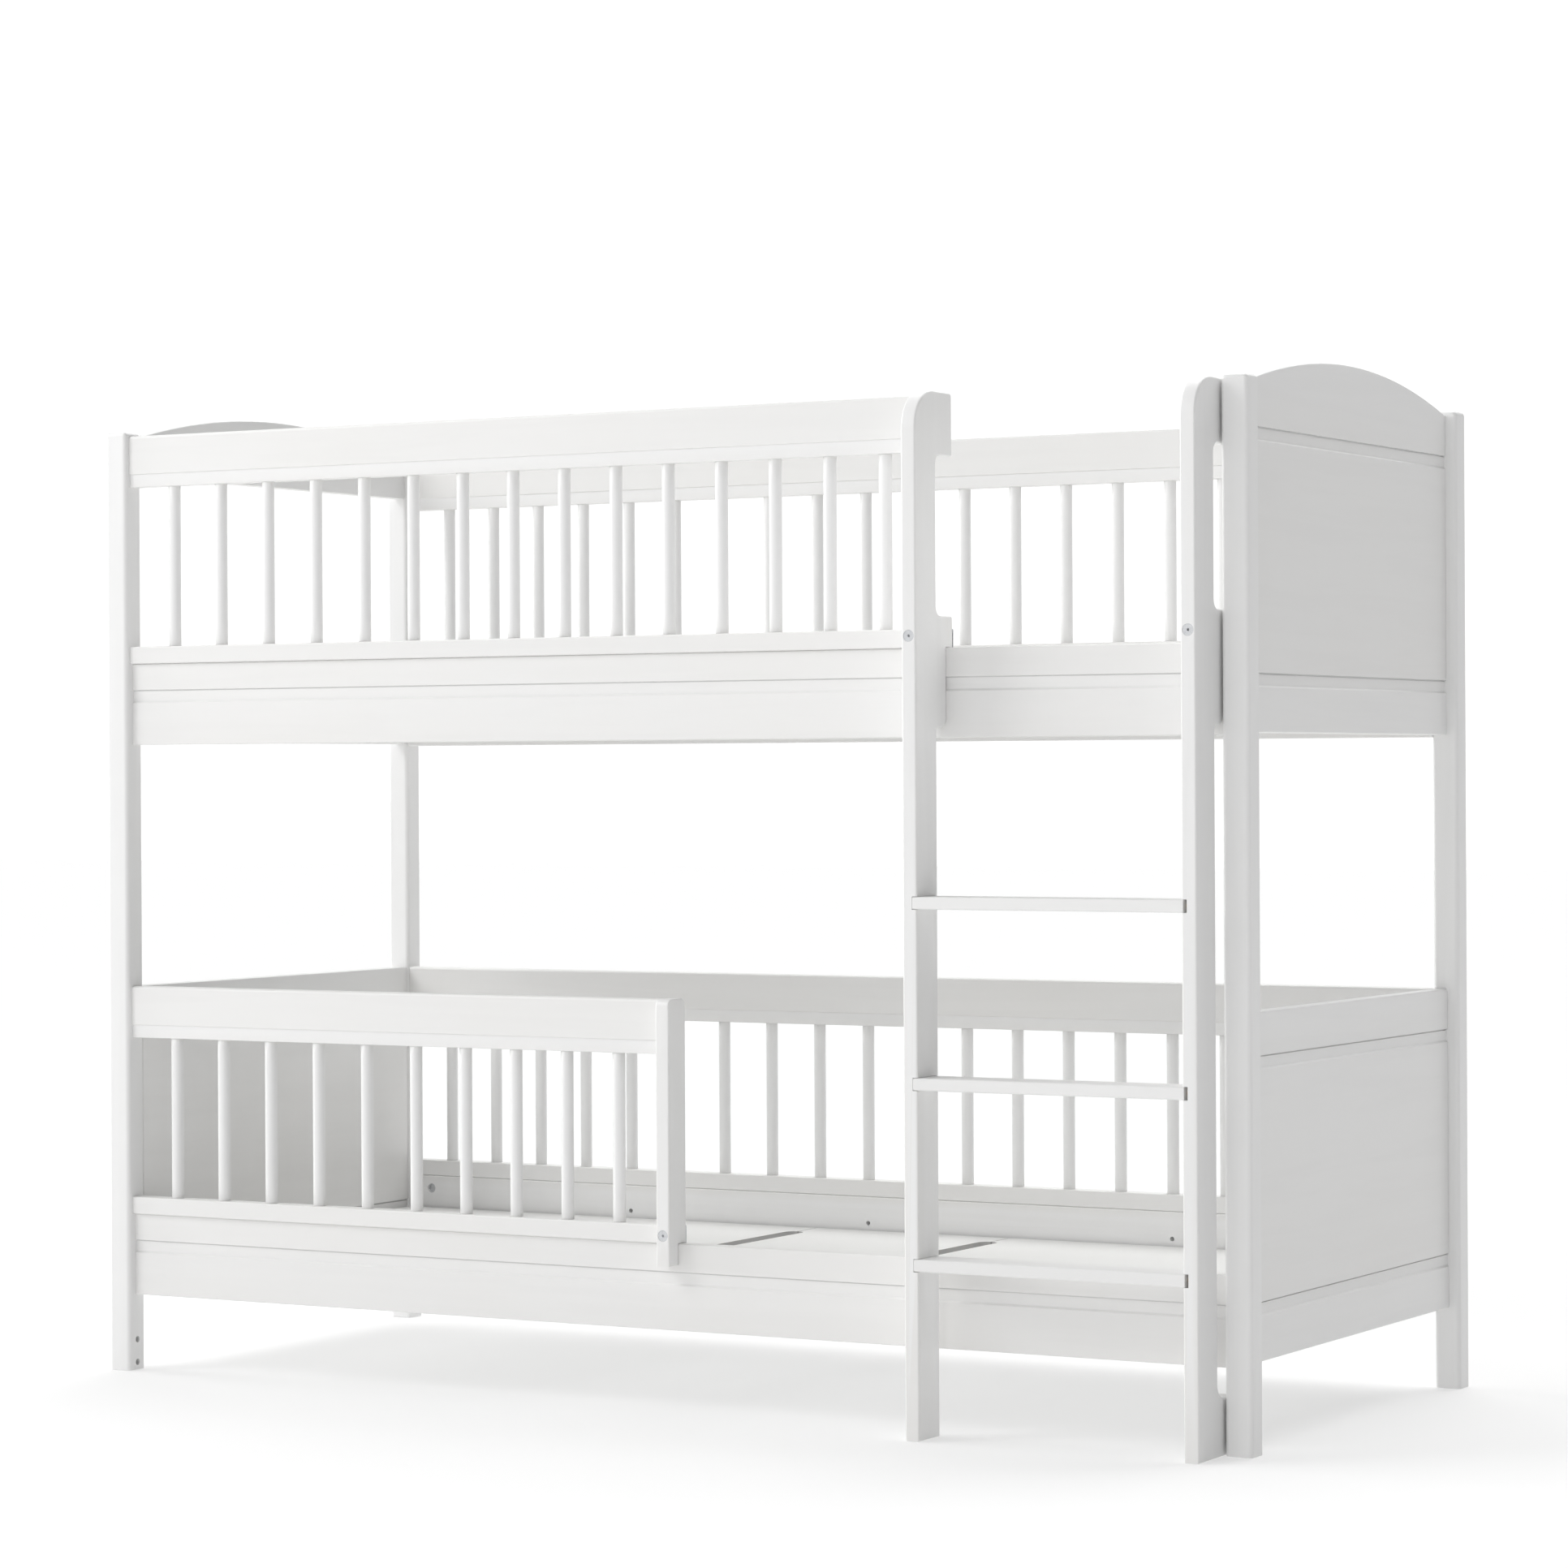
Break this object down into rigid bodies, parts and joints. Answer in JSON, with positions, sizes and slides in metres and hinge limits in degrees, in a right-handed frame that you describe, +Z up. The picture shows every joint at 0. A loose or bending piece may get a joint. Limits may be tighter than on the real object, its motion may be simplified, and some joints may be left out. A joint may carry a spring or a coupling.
{
  "type": "bunk bed with ladder",
  "caption": "Child's bunk bed with spindle guards, arched end panels, two boarded decks and a clamped-on ladder with treads.",
  "frame": {"origin": "on the floor, under the middle of the overall footprint, ladder included", "axes": "+X along the bed towards the ladder end, +Y from the front (ladder side) to the wall side, +Z up"},
  "size_m": [1.74, 0.81, 1.3563],
  "materials": {
    "white_lacquer": "satin white lacquer over solid wood and board",
    "deck_board": "matt white board",
    "zinc_steel": "zinc-plated steel",
    "beech": "raw beech dowel"
  },
  "bodies": {
    "frame": {"post_front_left": "white_lacquer", "post_front_right": "white_lacquer", "post_rear_left": "white_lacquer", "post_rear_right": "white_lacquer", "gable_lower_left": "white_lacquer", "gable_lower_right": "white_lacquer", "gable_upper_left": "white_lacquer", "gable_upper_right": "white_lacquer", "endboard_upper_left": "white_lacquer", "rail_lower_front": "white_lacquer", "rail_lower_rear": "white_lacquer", "rail_upper_front": "white_lacquer", "rail_upper_rear": "white_lacquer", "ledger_lower_front": "white_lacquer", "ledger_lower_rear": "white_lacquer", "ledger_upper_front": "white_lacquer", "ledger_upper_rear": "white_lacquer", "base_lower_front": "white_lacquer", "base_lower_rear": "white_lacquer", "base_upper_front": "white_lacquer", "base_upper_rear": "white_lacquer", "spindles_lower_front": "white_lacquer", "spindles_lower_rear": "white_lacquer", "spindles_upper_front": "white_lacquer", "spindles_upper_rear": "white_lacquer", "top_lower_front": "white_lacquer", "top_lower_rear": "white_lacquer", "top_upper_front": "white_lacquer", "top_upper_rear": "white_lacquer", "newel": "white_lacquer", "upright_left": "white_lacquer", "upright_right": "white_lacquer", "rung_1": "white_lacquer", "rung_2": "white_lacquer", "rung_3": "white_lacquer", "rail_studs": "zinc_steel", "rail_barrels": "zinc_steel", "clamp_bolts": "zinc_steel", "clamp_plates": "zinc_steel", "clamp_nuts": "zinc_steel", "foot_bolts": "zinc_steel", "foot_spacers": "zinc_steel", "gable_dowels": "beech", "guard_dowels": "beech", "rung_dowels": "beech", "ledger_screws": "zinc_steel"},
    "deck_lower": {"deck_lower_left": "deck_board", "deck_lower_mid": "deck_board", "deck_lower_right": "deck_board"},
    "deck_upper": {"deck_upper_left": "deck_board", "deck_upper_mid": "deck_board", "deck_upper_right": "deck_board"}
  },
  "joints": [
    {"name": "deck_lower_lift", "type": "slide", "parent": "frame", "child": "deck_lower", "axis": [0, 0, 1], "range_m": [0, 0.25]},
    {"name": "deck_upper_lift", "type": "slide", "parent": "frame", "child": "deck_upper", "axis": [0, 0, 1], "range_m": [0, 0.25]}
  ]
}
